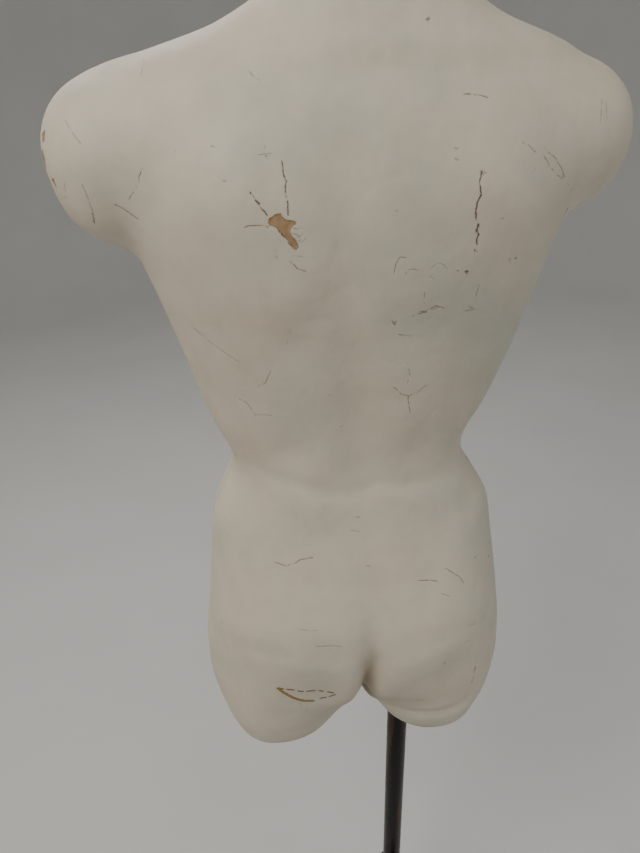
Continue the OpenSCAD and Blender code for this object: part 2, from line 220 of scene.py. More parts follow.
def bare_patches(s, under):
    """Bare paper where the paint is off: the new colour, and where the patches are."""
    ragged = s.times(s.math("SUBTRACT", s.noise(330.0, 4.0, 0.65), 0.5), 1.8)
    edge = s.math("ADD", s.attribute("patch"), ragged)
    patch = s.ramp(edge, 0.10, -0.15)
    fibre = s.noise(300.0, 4.0, 0.7, s.stretch((1, 1, 0.6)))
    bare = s.mix(s.ramp(fibre, 0.30, 0.75), tone(148, 116, 82), tone(172, 142, 106))
    chipped = s.mix(patch, under, bare)
    edge_dark = s.ramp(s.math("ABSOLUTE", edge), 0.35, 0.05)
    return s.mix(s.times(edge_dark, 0.45), chipped, tone(92, 72, 54)), patch


def golden_lines(s, under, jitter):
    """Golden varnish with a dark edge over a colour."""
    gold = s.math("ADD", s.attribute("gold"), s.times(jitter, 0.5))
    edged = s.mix(s.ramp(gold, 0.5, 0.1), under, tone(98, 84, 50))
    return s.mix(s.ramp(gold, -0.25, -0.9), edged, tone(160, 122, 58))


def aged_paint():
    """Cream paint with faint stains, dust, painted shade in the hollows, hairline cracks and chips.
    """
    s = Shader("aged_paint_finish")
    jitter = s.times(s.math("SUBTRACT", s.noise(500.0, 3.0, 0.6), 0.5), 3.2)
    cracked, crack = hairline_cracks(s, stained_cream(s), jitter)
    chipped, patch = bare_patches(s, cracked)
    s.set(Base_Color=golden_lines(s, chipped, jitter))
    rough = s.ramp(s.noise(24.0, 4.0, 0.6), 0.3, 0.7, 0.50, 0.66)
    s.set(Roughness=s.math("ADD", rough, s.times(patch, 0.25)))
    s.set(IOR=1.46)
    lumps = s.bump(s.noise(30.0, 3.0, 0.5), 0.0011, 0.8)
    brushed = s.bump(s.noise(120.0, 4.0, 0.6, s.stretch((1, 1, 0.55))), 0.00035, 0.8, lumps)
    sunk = s.math("MAXIMUM", patch, crack)
    s.set(Normal=s.bump(s.math("SUBTRACT", 1.0, sunk), 0.0007, 0.9, brushed))
    return s.material


def dark_lacquer():
    """Near-black bronze lacquer on a round tube, with brown wear streaks and fine scratches."""
    s = Shader("dark_lacquer_finish")
    streak = s.noise(22.0, 4.0, 0.6, s.stretch((4.0, 4.0, 0.22)))
    worn = s.ramp(streak, 0.52, 0.74)
    cloud = s.ramp(s.noise(40.0, 4.0, 0.6), 0.35, 0.75)
    base = s.mix(cloud, tone(18, 15, 13), tone(28, 23, 19))
    brown = s.mix(s.times(worn, 0.8), base, tone(92, 52, 24))
    scratch = s.ramp(s.noise(900.0, 2.0, 0.5, s.stretch((1.0, 1.0, 0.02))), 0.66, 0.74)
    s.set(Base_Color=s.mix(s.times(scratch, 0.25), brown, tone(110, 84, 60)))
    s.set(Specular_IOR_Level=0.12)
    s.set(Roughness=s.math("ADD", s.ramp(cloud, 0.0, 1.0, 0.22, 0.32), s.times(worn, 0.12)))
    s.set(Normal=s.bump(s.noise(160.0, 3.0, 0.6), 0.00015, 0.6))
    return s.material


def enamel():
    """Dark stoved enamel on the base, with dust and worn edges."""
    s = Shader("base_enamel_finish")
    cloud = s.ramp(s.noise(16.0, 5.0, 0.6), 0.35, 0.7)
    base = s.mix(cloud, tone(34, 30, 28), tone(48, 42, 38))
    dust = s.ramp(s.noise(46.0, 5.0, 0.7), 0.50, 0.72)
    dusty = s.mix(s.times(dust, 0.35), base, tone(108, 100, 90))
    speck = s.ramp(s.cells(210.0), 0.12, 0.06)
    s.set(Base_Color=s.mix(s.times(speck, 0.25), dusty, tone(140, 126, 106)))
    s.set(Metallic=0.2)
    s.set(Roughness=s.math("ADD", 0.34, s.times(dust, 0.22)))
    orange_peel = s.bump(s.noise(420.0, 2.0, 0.5), 0.00012, 0.7)
    s.set(Normal=orange_peel)
    return s.material


def steel(name, light, dark, rough):
    """Plain metal with fine tool marks, stains and a little rust."""
    s = Shader(name)
    cloud = s.ramp(s.noise(70.0, 5.0, 0.6), 0.35, 0.7)
    base = s.mix(cloud, light, dark)
    rust = s.ramp(s.noise(130.0, 5.0, 0.7), 0.62, 0.76)
    s.set(Base_Color=s.mix(s.times(rust, 0.6), base, tone(120, 78, 48)))
    s.set(Metallic=s.math("SUBTRACT", 0.95, s.times(rust, 0.6)))
    s.set(Roughness=s.math("ADD", rough, s.times(rust, 0.3)))
    lines = s.noise(700.0, 2.0, 0.5, s.stretch((1.0, 1.0, 0.05)))
    s.set(Normal=s.bump(lines, 0.0001, 0.6))
    return s.material


def plastic():
    """Black moulded plastic with a grained skin and scuffs."""
    s = Shader("black_plastic_finish")
    cloud = s.ramp(s.noise(90.0, 4.0, 0.6), 0.4, 0.7)
    s.set(Base_Color=s.mix(cloud, tone(26, 26, 26), tone(44, 43, 41)))
    s.set(Roughness=s.ramp(s.noise(50.0, 4.0, 0.6), 0.3, 0.7, 0.38, 0.58))
    s.set(Normal=s.bump(s.cells(1400.0), 0.00012, 0.6))
    return s.material


def wood():
    """Plain pine board, its grain along X."""
    s = Shader("board_wood_finish")
    grain = s.noise(60.0, 5.0, 0.6, s.stretch((0.12, 1.0, 1.0)), 1.2)
    fine = s.noise(600.0, 3.0, 0.6, s.stretch((0.04, 1.0, 1.0)))
    base = s.mix(s.ramp(grain, 0.35, 0.65), tone(196, 156, 106), tone(158, 114, 70))
    s.set(Base_Color=s.mix(s.times(s.ramp(fine, 0.4, 0.7), 0.4), base, tone(120, 84, 52)))
    s.set(Roughness=0.7)
    s.set(Normal=s.bump(fine, 0.0003, 0.7))
    return s.material


def cloth():
    """Coarse glued cotton strip."""
    s = Shader("seam_cloth_finish")
    weave_x = s.node("ShaderNodeTexWave", bands_direction="X")
    weave_z = s.node("ShaderNodeTexWave", bands_direction="Z")
    for wave in (weave_x, weave_z):
        s.feed(wave.inputs["Vector"], s.position)
        wave.inputs["Scale"].default_value = 240.0
        wave.inputs["Distortion"].default_value = 1.5
    weave = s.times(weave_x.outputs["Fac"], weave_z.outputs["Fac"])
    stain = s.ramp(s.noise(30.0, 4.0, 0.6), 0.4, 0.7)
    base = s.mix(stain, tone(190, 172, 138), tone(150, 122, 84))
    s.set(Base_Color=s.mix(s.times(weave, 0.4), base, tone(214, 200, 172)))
    s.set(Roughness=0.9)
    s.set(Normal=s.bump(weave, 0.0004, 0.8))
    return s.material


def felt():
    """Dark pressed felt."""
    s = Shader("base_felt_finish")
    fuzz = s.noise(900.0, 4.0, 0.7)
    s.set(Base_Color=s.mix(s.ramp(fuzz, 0.35, 0.7), tone(44, 44, 42), tone(78, 76, 70)))
    s.set(Roughness=0.95)
    s.set(Normal=s.bump(fuzz, 0.0006, 0.9))
    return s.material


def floor_paint():
    """Pale seamless studio floor with a faint unevenness."""
    s = Shader("stage_finish")
    cloud = s.ramp(s.noise(2.5, 4.0, 0.5), 0.3, 0.7)
    s.set(Base_Color=s.mix(cloud, tone(196, 194, 190), tone(199, 197, 193)))
    s.set(Roughness=0.8)
    s.set(Normal=s.bump(s.noise(90.0, 3.0, 0.5), 0.0002, 0.5))
    return s.material


# Each material slot's finish
FINISH = {
    "aged_paint": aged_paint(),
    "seam_cloth": cloth(),
    "board_wood": wood(),
    "dark_bronze": dark_lacquer(),
    "socket_steel": steel("socket_steel_finish", tone(128, 126, 122), tone(92, 90, 88), 0.42),
    "screw_steel": steel("screw_steel_finish", tone(198, 196, 190), tone(160, 158, 150), 0.28),
    "black_plastic": plastic(),
    "base_enamel": enamel(),
    "base_felt": felt(),
}


def place_piece(mesh, name, body, node, slot):
    """Adds a mesh in its slot's finish. It stands for a CAD node and rides on a body."""
    mesh.materials.append(FINISH[slot])
    piece = bpy.data.objects.new(name, mesh)
    bpy.context.collection.objects.link(piece)
    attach(piece, body)
    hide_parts(node)


def mesh_from(bm, name):
    """A mesh made from bm, which is freed."""
    mesh = bpy.data.meshes.new(name)
    bm.to_mesh(mesh)
    bm.free()
    return mesh


def cad_copy(node):
    """A CAD node's mesh with its doubled vertices merged."""
    bm = bmesh.new()
    bm.from_mesh(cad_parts[node].data)
    bmesh.ops.remove_doubles(bm, verts=bm.verts, dist=1e-6)
    return bm


# ---------------------------------------------------------------- figure's surface

shell_low, shell_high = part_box("torso_back_shell")
MIDDLE_X = (shell_low.x + shell_high.x) / 2
NECK_TOP = 500.0
WAIST_Z = shell_high.z - NECK_TOP * MM
WALL = 5.0
VOXEL = 3.6
# Holes for the pole, up to a height, and for the lock screw
SOLE_HOLE_R = 18.5
SOLE_HOLE_TOP = -330.0
SCREW_HOLE_R = 8.0

# Trunk sections, in millimetres from the waist: height, half width, depth in front of the side
# seam, depth behind it, and squareness (2 is an ellipse).
TRUNK = [
    (-300, 166, 72, 94, 2.2),
    (-260, 170, 80, 107, 2.2),
    (-220, 171, 89, 114, 2.3),
    (-180, 166, 95, 112, 2.4),
    (-140, 160, 96, 103, 2.4),
    (-100, 154, 96, 92, 2.4),
    (-60, 147, 93, 81, 2.4),
    (-35, 134, 89, 76, 2.4),
    (-15, 123, 87, 74, 2.4),
    (-2, 119, 86, 73, 2.4),
    (10, 119, 86, 73, 2.4),
    (25, 124, 86, 73, 2.4),
    (45, 134, 88, 74, 2.4),
    (75, 145, 92, 78, 2.4),
    (110, 155, 98, 85, 2.4),
    (150, 166, 102, 93, 2.4),
    (190, 177, 105, 101, 2.4),
    (230, 189, 105, 104, 2.4),
    (265, 193, 100, 103, 2.4),
    (298, 191, 90, 96, 2.3),
    (323, 186, 77, 88, 2.15),
    (341, 176, 66, 81, 2.05),
    (355, 162, 59, 77, 2.0),
    (369, 132, 55, 71, 2.0),
    (382, 103, 52, 66, 2.0),
    (397, 76, 51, 61, 2.0),
    (414, 63, 52, 58, 2.0),
    (432, 57, 55, 56, 2.0),
    (465, 56, 56, 56, 2.0),
    (530, 56, 56, 56, 2.0),
]
TRUNK_BOTTOM = -303.0
TRUNK_ROUND = 46.0

# Thigh stump sections: height, half width, front depth, back depth, squareness.
THIGH = [
    (-400, 76, 70, 80, 2.15),
    (-340, 83, 76, 91, 2.15),
    (-290, 84, 79, 98, 2.2),
    (-250, 66, 72, 92, 2.2),
    (-215, 46, 58, 76, 2.2),
    (-180, 24, 34, 48, 2.2),
]
THIGH_X = 95.0
THIGH_TOP = -200.0
THIGH_ROUND = 60.0
# How widely a thigh stump blends into the trunk, and how much more on its inner side
THIGH_BLEND = 34
INNER_BLEND = 12
# Bottom of each thigh stump by side: 1 is the figure's left, at +X
THIGH_BOTTOM = {1: -385.0, -1: -393.0}
# Slanting faces that trim each stump's lower corners: a point on the face as (x, height), the
# slope outwards and downwards, and how softly it meets the rest
THIGH_FACES = {
    1: [((184, -267), (0.945, -0.327), 44), ((-6, -318), (-0.82, -0.57), 36)],
    -1: [((-183, -270), (-0.908, -0.418), 44), ((10, -303), (0.90, -0.43), 36)],
}

# Each arm stump by side: its outer ball's distance from the middle, height and upright radius,
# and how far out its end face lies
ARM = {
    1: (183, 282, 68, 248),
    -1: (178, 287, 63, 236),
}
ARM_BLEND = 17


def column(rows, h, k):
    """Column k at heights h, on a smooth cubic through the rows."""
    z = np.array([r[0] for r in rows], float)
    v = np.array([r[k] for r in rows], float)
    slope = np.gradient(v, z)
    i = np.clip(np.searchsorted(z, h, side="right") - 1, 0, len(z) - 2)
    step = z[i + 1] - z[i]
    t = np.clip((h - z[i]) / step, 0.0, 1.0)
    return (
        (2 * t**3 - 3 * t**2 + 1) * v[i]
        + (t**3 - 2 * t**2 + t) * slope[i] * step
        + (3 * t**2 - 2 * t**3) * v[i + 1]
        + (t**3 - t**2) * slope[i + 1] * step
    )


def smooth_min(a, b, k):
    h = np.maximum(k - np.abs(a - b), 0.0) / k
    return np.minimum(a, b) - h * h * k / 4


def smooth_max(a, b, k):
    return -smooth_min(-a, -b, k)


def loft_distance(rows, x, y, h):
    """Distance to a loft through the rows, on a grid whose last axis is height."""
    half = column(rows, h, 1)
    depth = np.where(y < 0, column(rows, h, 2), column(rows, h, 3))
    n = column(rows, h, 4)
    u = np.maximum(np.abs(x) / half, 1e-4)
    v = np.maximum(np.abs(y) / depth, 1e-4)
    r = np.maximum((u**n + v**n) ** (1 / n), 0.05)
    slope_x = (u / r) ** (n - 1) / half
    slope_y = (v / r) ** (n - 1) / depth
    slope_z = np.gradient(r, float(h[0, 0, 1] - h[0, 0, 0]), axis=2)
    return (r - 1) / np.sqrt(slope_x**2 + slope_y**2 + np.minimum(slope_z**2, 1e-3))


def ellipsoid_distance(x, y, z, centre, radii):
    px, py, pz = x - centre[0], y - centre[1], z - centre[2]
    a = np.sqrt((px / radii[0]) ** 2 + (py / radii[1]) ** 2 + (pz / radii[2]) ** 2)
    b = np.sqrt((px / radii[0] ** 2) ** 2 + (py / radii[1] ** 2) ** 2 + (pz / radii[2] ** 2) ** 2)
    return a * (a - 1) / np.maximum(b, 1e-6)


def round_end(side, end, radius):
    """Both distances met with a rounded edge of that radius."""
    outside = np.hypot(np.maximum(radius + side, 0), np.maximum(radius + end, 0))
    return np.minimum(np.maximum(side, end), -radius) + outside


def arm_distance(x, y, z, side):
    """Rounded arm stump, its end face turned a little downwards."""
    reach_x, reach_z, reach_height, end = ARM[side]
    reach = ellipsoid_distance(x, y, z, (side * reach_x, 0, reach_z), (65, 62, reach_height))
    middle = ellipsoid_distance(x, y, z, (side * 142, 0, 298), (57, 61, 58))
    root = ellipsoid_distance(x, y, z, (side * 105, 0, 312), (50, 60, 49))
    arm = smooth_min(smooth_min(reach, middle, 26), root, 26)
    face = side * x * 0.97 - (z - 284) * 0.24 - end
    return smooth_max(arm, face, 20)


def bump(x, z, centre, size, height):
    """Soft mound on the surface, at x and height above the waist."""
    return height * np.exp(-(((x - centre[0]) / size[0]) ** 2) - ((z - centre[1]) / size[1]) ** 2)


def groove(x, z, points, widths, depths):
    """Soft furrow along points, with a width and a depth at each."""
    best = np.full(np.broadcast(x, z).shape, 1e9)
    value = np.zeros_like(best)
    for i in range(len(points) - 1):
        (ax, az), (bx, bz) = points[i], points[i + 1]
        dx, dz = bx - ax, bz - az
        t = np.clip(((x - ax) * dx + (z - az) * dz) / (dx * dx + dz * dz), 0, 1)
        far = np.hypot(x - ax - t * dx, z - az - t * dz)
        width = widths[i] + t * (widths[i + 1] - widths[i])
        depth = depths[i] + t * (depths[i + 1] - depths[i])
        here = -depth * np.exp(-((far / width) ** 2))
        value = np.where(far < best, here, value)
        best = np.minimum(best, far)
    return value


def back_relief(x, z):
    """Height of the back's forms above the plain loft."""
    # spine
    d = groove(
        x, z,
        [(12, 330), (16, 250), (19, 167), (13, 120), (5, 67), (-1, 11), (-4, -6), (-4, -34)],
        [22, 20, 20, 19, 18, 18, 17, 14],
        [0.5, 2.2, 3.2, 4.0, 4.6, 4.8, 3.2, 0.4],
    )
    # shoulder blades, and the long muscles beside the spine
    for side in (1, -1):
        d = d + bump(x, z, (side * 97, 262), (58, 62), 5.5)
        d = d + bump(x, z, (side * 62, 120), (34, 90), 1.8)
        d = d + bump(x, z, (side * 46, 20), (26, 60), 2.4)
    # hollows above the hips
    d = d + bump(x, z, (67, 34), (22, 26), -3.4)
    d = d + bump(x, z, (-52, 25), (20, 26), -3.4)
    # buttocks, and the flat bone above them
    d = d + bump(x, z, (92, -172), (62, 62), 9.0)
    d = d + bump(x, z, (-76, -178), (62, 62), 9.0)
    d = d + bump(x, z, (-4, -70), (44, 30), 1.6)
    # shallow fold below the left shoulder blade
    d = d + groove(
        x, z,
        [(31, 185), (55, 151), (76, 127), (98, 109)],
        [15, 15, 16, 18],
        [0.6, 1.5, 1.3, 0.3],
    )
    # crease at the waist, with a swelling below it
    d = d + groove(
        x, z,
        [(82, 4), (50, -6), (17, -16), (-17, -9), (-58, -12), (-92, -16)],
        [9, 9, 9, 9, 9, 9],
        [1.2, 1.7, 1.7, 1.7, 1.7, 1.0],
    )
    d = d + bump(x, z, (45, -30), (40, 18), 1.7) + bump(x, z, (-50, -34), (40, 18), 1.7)
    # fold under the right buttock
    d = d + groove(
        x, z,
        [(-28, -327), (-45, -322), (-77, -317), (-105, -310), (-121, -300), (-124, -280)],
        [6, 7, 8, 8, 8, 8],
        [0.8, 2.4, 2.8, 2.8, 2.0, 0.5],
    )
    # between the buttocks
    d = d + groove(
        x, z,
        [(-5, -118), (-5, -145), (-4, -175), (-3, -210), (-1, -245), (0, -290)],
        [15, 15, 15, 14, 13, 12],
        [0.4, 2.0, 6.0, 10.0, 13.0, 15.0],
    )
    return d


def front_relief(x, z):
    """Height of the front's forms above the plain loft."""
    d = bump(x, z, (0, 190), (30, 70), -4.0)
    for side in (1, -1):
        d = d + bump(x, z, (side * 76, 186), (50, 44), 15.0)
        d = d + bump(x, z, (side * 74, 172), (36, 30), 6.0)
        d = d + groove(
            x, z,
            [(side * 34, 140), (side * 76, 130), (side * 118, 142)],
            [13, 13, 13],
            [1.2, 3.4, 1.2],
        )
        d = d + groove(
            x, z,
            [(side * 20, 352), (side * 80, 356), (side * 140, 350)],
            [10, 11, 12],
            [2.4, 2.4, 0.4],
        )
        d = d + groove(
            x, z,
            [(side * 10, -286), (side * 60, -244), (side * 118, -186), (side * 150, -150)],
            [11, 13, 14, 14],
            [4.0, 4.0, 2.6, 0.4],
        )
        d = d + bump(x, z, (side * 40, 60), (24, 60), 1.6)
        d = d + bump(x, z, (side * 128, -66), (34, 30), 2.4)
    d = d + groove(
        x, z, [(0, 120), (0, 60), (0, -20), (0, -60)], [13, 12, 12, 12], [2.0, 2.4, 2.4, 0.6]
    )
    d = d + bump(x, z, (0, -52), (7, 6), -3.2)
    d = d + bump(x, z, (0, -120), (76, 66), 6.0)
    return d


def unevenness(x, y, z, size):
    """Slow random swell of the hand-laid paper, about size high."""
    total = 0.0
    for _ in range(14):
        direction = rng.normal(size=3)
        direction /= np.linalg.norm(direction)
        wave = 2 * math.pi / rng.uniform(38, 110)
        phase = rng.uniform(0, 2 * math.pi)
        along = direction[0] * x + direction[1] * y + direction[2] * z
        total = total + np.sin(along * wave + phase)
    return total * size / 3.2


def step_up(v, low, high):
    t = np.clip((v - low) / (high - low), 0, 1)
    return t * t * (3 - 2 * t)


def cleft_distance(x, y, z):
    """Narrow wedge between the buttocks, negative inside it."""
    heights = [-310, -284, -262, -235, -205, -180]
    depth = np.interp(z, heights, [38, 30, 20, 8, -6, -24])
    line = np.interp(z, heights, [0, 0, -1, -1, -3, -4])
    inner = column(TRUNK, z, 3) - 6 - depth
    width = 0.2 + 0.12 * np.maximum(y - inner, 0)
    return np.maximum(np.abs(x - line) - width, inner - y)


def body_distance(x, y, z):
    """Distance to the figure's outer surface, in millimetres."""
    shoulder_lean = -12 * step_up(z, 325, 365) * (1 - step_up(z, 395, 440))
    lean = shoulder_lean + 4.5 * np.exp(-(((z - 20) / 60) ** 2))
    body = round_end(loft_distance(TRUNK, x - lean, y, z), TRUNK_BOTTOM - z, TRUNK_ROUND)
    for side in (1, -1):
        body = smooth_min(body, arm_distance(x, y, z, side), ARM_BLEND)
    for side in (1, -1):
        thigh = loft_distance(THIGH, x - side * THIGH_X, y, z)
        thigh = round_end(thigh, THIGH_BOTTOM[side] - z, THIGH_ROUND)
        thigh = smooth_max(thigh, z - THIGH_TOP, 40)
        for place, slope, soft in THIGH_FACES[side]:
            face = (x - place[0]) * slope[0] + (z - place[1]) * slope[1]
            thigh = smooth_max(thigh, face, soft)
        inner = np.clip((THIGH_X - side * x) / 60.0, 0.0, 1.0)
        body = smooth_min(body, thigh, THIGH_BLEND + INNER_BLEND * inner)
    plane_x, plane_z = x[:, 0, :], z[:, 0, :]
    back = back_relief(plane_x, plane_z)[:, None, :]
    front = front_relief(plane_x, plane_z)[:, None, :]
    inside_outline = step_up(np.abs(y), 6, 46)
    body = body - np.where(y > 0, back, front) * inside_outline
    body = smooth_max(body, -cleft_distance(x, y, z), 15)
    return body - unevenness(x, y, z, 0.4)


def figure_field():
    """The hollow figure's distance grid, the outer surface's own grid, and their lowest corner."""
    low = np.array([-262.0, -142.0, -404.0])
    high = np.array([262.0, 142.0, NECK_TOP + 14.0])
    count = np.ceil((high - low) / VOXEL).astype(int)
    axes = [low[i] + VOXEL * np.arange(count[i]) for i in range(3)]
    x = axes[0][:, None, None]
    y = axes[1][None, :, None]
    z = axes[2][None, None, :]
    full_x = np.broadcast_to(x, (count[0], 1, count[2]))
    full_z = np.broadcast_to(z, (count[0], 1, count[2]))
    body = body_distance(full_x, y, full_z)
    hollow = np.maximum(body, -(body + WALL))
    pole_x = -MIDDLE_X / MM
    sole = np.maximum(np.hypot(x - pole_x, y) - SOLE_HOLE_R, z - SOLE_HOLE_TOP)
    hollow = np.maximum(hollow, -sole)
    screw_low, screw_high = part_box("torso_lock_screw")
    screw_h = ((screw_low.z + screw_high.z) / 2 - WAIST_Z) / MM
    front_hole = np.maximum(np.hypot(x - pole_x, z - screw_h) - SCREW_HOLE_R, y)
    return np.maximum(hollow, -front_hole), body, low


def mesh_of_field(field, low):
    """Vertices in the figure's millimetres and quads of the field's zero surface."""
    grid = openvdb.FloatGrid(30.0)
    grid.copyFromArray(np.ascontiguousarray(np.clip(field, -30, 30), dtype=np.float32))
    points, quads = grid.convertToQuads(isovalue=0.0)
    return points * VOXEL + low, quads


# ---------------------------------------------------------------- marks on the paint

# Makes every crack narrower or wider
CRACK_SCALE = 0.65

# Cracks on the back: half width in millimetres, darkness, then points as (x, height above the
# waist).
# Many places in BACK_LINES, and some in BACK_PATCHES, BACK_GOLD and back_relief, were worked out by
# another program from points read off the photograph. They are not hand-chosen.
BACK_LINES = [
    (0.9, 0.9, (85, 267), (82, 262), (80, 260), (75, 252)),
    (0.8, 0.8, (62, 286), (61, 278), (60, 274), (61, 270), (60, 259), (60, 252)),
    (0.6, 0.6, (91, 244), (85, 245), (75, 244)),
    (0.8, 0.9, (74, 246), (69, 243), (66, 239), (62, 234), (59, 230)),
    (0.4, 0.5, (58, 243), (54, 241), (50, 242)),
    (0.4, 0.5, (57, 238), (52, 236), (49, 238)),
    (0.4, 0.4, (55, 234), (51, 232), (48, 234)),
    (0.5, 0.4, (71, 226), (70, 221)),
    (0.6, 0.6, (59, 217), (55, 212), (49, 210)),
    (0.4, 0.3, (58, 222), (51, 221)),
    (0.4, 0.4, (77, 291), (69, 292)),
    (0.4, 0.4, (73, 296), (73, 290), (71, 288)),
    (1.0, 1.0, (-82, 274), (-81, 264), (-82, 259), (-80, 253), (-79, 246), (-79, 243), (-82, 237)),
    (1.0, 1.0, (-82, 237), (-81, 233), (-83, 230), (-82, 226), (-83, 223)),
    (0.5, 0.5, (-81, 274), (-85, 273)),
    (0.8, 0.8, (-82, 218), (-83, 217)),
    (0.5, 0.5, (-19, 205), (-20, 212), (-23, 217), (-27, 216)),
    (0.5, 0.5, (-28, 204), (-32, 207), (-36, 206)),
    (0.4, 0.35, (-47, 206), (-52, 210), (-57, 209), (-60, 206)),
    (0.4, 0.3, (-48, 200), (-51, 198)),
    (0.6, 0.7, (-36, 167), (-41, 169), (-47, 170)),
    (0.6, 0.6, (-48, 172), (-55, 175), (-61, 172)),
    (0.5, 0.5, (-44, 186), (-44, 180), (-48, 182)),
    (0.4, 0.4, (-42, 171), (-56, 172)),
    (0.6, 0.7, (-20, 164), (-22, 161), (-23, 163)),
    (0.6, 0.7, (-27, 151), (-31, 150), (-36, 149)),
    (0.5, 0.5, (-90, 188), (-89, 180)),
    (0.5, 0.5, (-82, 167), (-91, 167)),
    (0.4, 0.4, (-84, 171), (-90, 168)),
    (0.6, 0.5, (-26, 99), (-32, 92), (-40, 89), (-48, 92), (-54, 98)),
    (0.6, 0.6, (-39, 89), (-42, 72)),
    (0.5, 0.5, (-36, 123), (-39, 113), (-38, 103)),
    (0.6, 0.5, (-137, 286), (-147, 279), (-154, 272), (-160, 264)),
    (0.6, 0.5, (-137, 280), (-143, 273), (-150, 267), (-157, 263)),
    (0.6, 0.5, (-117, 291), (-122, 289), (-128, 284)),
    (0.4, 0.35, (-131, 275), (-128, 272)),
    (0.4, 0.4, (-166, 258), (-170, 255), (-172, 252)),
    (0.5, 0.4, (-189, 316), (-188, 301)),
    (0.5, 0.3, (-193, 314), (-194, 304)),
    (0.6, 0.6, (-71, 324), (-82, 323), (-89, 321)),
    (0.5, 0.4, (156, 343), (154, 352), (155, 362)),
    (0.5, 0.4, (215, 315), (210, 307), (205, 301)),
    (0.6, 0.55, (162, 282), (168, 271), (175, 262)),
    (0.6, 0.55, (187, 257), (180, 253), (172, 247)),
    (0.5, 0.45, (206, 248), (207, 260), (209, 272)),
    (0.9, 0.6, (207, 250), (208, 243)),
    (0.4, 0.4, (224, 273), (226, 262)),
    (0.5, 0.4, (79, 342), (76, 338), (73, 337)),
    (0.4, 0.4, (140, 157), (124, 143), (105, 129)),
    (0.5, 0.5, (112, 92), (102, 87), (96, 75)),
    (0.4, 0.4, (94, 75), (81, 75)),
    (0.5, 0.6, (92, 105), (85, 109), (80, 121)),
    (0.4, 0.3, (65, 149), (62, 161)),
    (0.6, 0.7, (88, -84), (78, -87), (70, -84), (64, -80), (52, -78)),
    (0.4, 0.4, (12, -52), (4, -54)),
    (0.6, 0.7, (-54, -112), (-67, -114), (-74, -117)),
    (0.5, 0.6, (-84, -107), (-99, -120), (-104, -128)),
    (0.4, 0.4, (-78, -130), (-86, -135)),
    (0.5, 0.6, (54, -168), (42, -169), (29, -171)),
    (0.4, 0.4, (69, -149), (60, -151), (53, -151)),
    (0.4, 0.35, (74, -252), (73, -268)),
    (0.4, 0.3, (66, -262), (67, -282)),
    (0.8, 0.9, (-125, -246), (-124, -256)),
    (0.7, 0.8, (-124, -262), (-122, -270)),
    (0.5, 0.6, (-51, -284), (-58, -279), (-67, -282)),
    (0.6, 0.7, (-58, -284), (-60, -283)),
    (0.5, 0.4, (-112, -180), (-120, -182)),
    (0.5, 0.4, (-106, -196), (-112, -198)),
]
# Places on the back where the paint is off: outlines as (x, height above the waist)
BACK_PATCHES = [
    (
        (74, 249), (69, 252), (65, 253), (64, 250), (61, 248), (55, 247), (54, 245), (58, 243),
        (59, 240), (58, 237), (54, 231), (53, 228), (55, 226), (58, 228), (59, 231), (62, 234),
        (66, 240), (69, 243), (74, 246),
    ),
]
# Pinholes on the back: x, height above the waist, half width, darkness
BACK_DOTS = [
    (109, 297, 0.6, 0.35), (137, 294, 0.4, 0.3), (103, 275, 0.5, 0.3), (-68, 203, 1.5, 1.0),
    (-77, 201, 1.6, 1.0), (-18, 250, 0.8, 0.4), (-63, 283, 0.7, 0.35), (-63, 290, 0.5, 0.3),
    (-116, 206, 0.6, 0.6), (-121, 206, 0.6, 0.5), (-117, 203, 0.5, 0.5), (-46, 371, 0.8, 0.7),
    (5, -39, 0.5, 0.5), (-3, -90, 0.5, 0.6), (-121, -110, 0.6, 0.5), (-143, -124, 0.7, 0.6),
    (-82, -214, 1.2, 1.0), (-46, 181, 0.9, 0.7), (-102, 240, 0.4, 0.3), (74, -85, 0.6, 0.8),
    (-66, -114, 0.6, 0.9), (150, -170, 0.7, 0.4), (30, 96, 0.4, 0.3), (20, 60, 0.4, 0.3),
]
DOT_SCALE = 2
BACK_LINES += [
    (half * DOT_SCALE, dark, (x - 0.5, z), (x + 0.5, z)) for x, z, half, dark in BACK_DOTS
]
# Golden varnish stain on the left buttock: half width, then points
BACK_GOLD = [
    (1.7, (96, -230), (91, -236), (84, -243), (77, -249), (69, -253), (60, -254)),
    (0.8, (95, -229), (91, -230)),
    (0.9, (87, -230), (80, -231)),
    (0.8, (75, -233), (70, -234)),
    (0.9, (66, -234), (58, -233)),
    (0.8, (53, -234), (49, -236)),
    (0.8, (44, -238), (38, -241)),
    (0.8, (36, -245), (42, -248)),
    (0.9, (46, -249), (52, -250)),
]
# Places on the end of the left arm stump where the paint is off, as (y, height above the waist)
LEFT_PATCHES = [
    ((18, 291), (26, 296), (31, 289), (27, 281), (20, 284)),
    ((24, 306), (29, 309), (31, 302), (27, 300)),
    ((33, 274), (38, 276), (37, 269)),
]


def random_lines(count, x_range, z_range):
    """Short wandering cracks."""
    lines = []
    for _ in range(count):
        x = rng.uniform(*x_range)
        z = rng.uniform(*z_range)
        heading = rng.uniform(0, 2 * math.pi)
        points = [(x, z)]
        for _ in range(rng.integers(1, 5)):
            heading += rng.normal() * 0.5
            stride = rng.uniform(5, 12)
            x += stride * math.cos(heading)
            z += stride * math.sin(heading)
            points.append((x, z))
        lines.append((rng.uniform(0.4, 0.7), rng.uniform(0.35, 0.9), *points))
    return lines


def random_patches(count, x_range, z_range):
    """Small ragged chips."""
    patches = []
    for _ in range(count):
        x = rng.uniform(*x_range)
        z = rng.uniform(*z_range)
        size = rng.uniform(1.2, 4.0)
        corners = []
        for i in range(7):
            turn = 2 * math.pi * i / 7
            radius = size * rng.uniform(0.5, 1.3)
            corners.append((x + radius * math.cos(turn), z + radius * math.sin(turn)))
        patches.append(tuple(corners))
    return patches


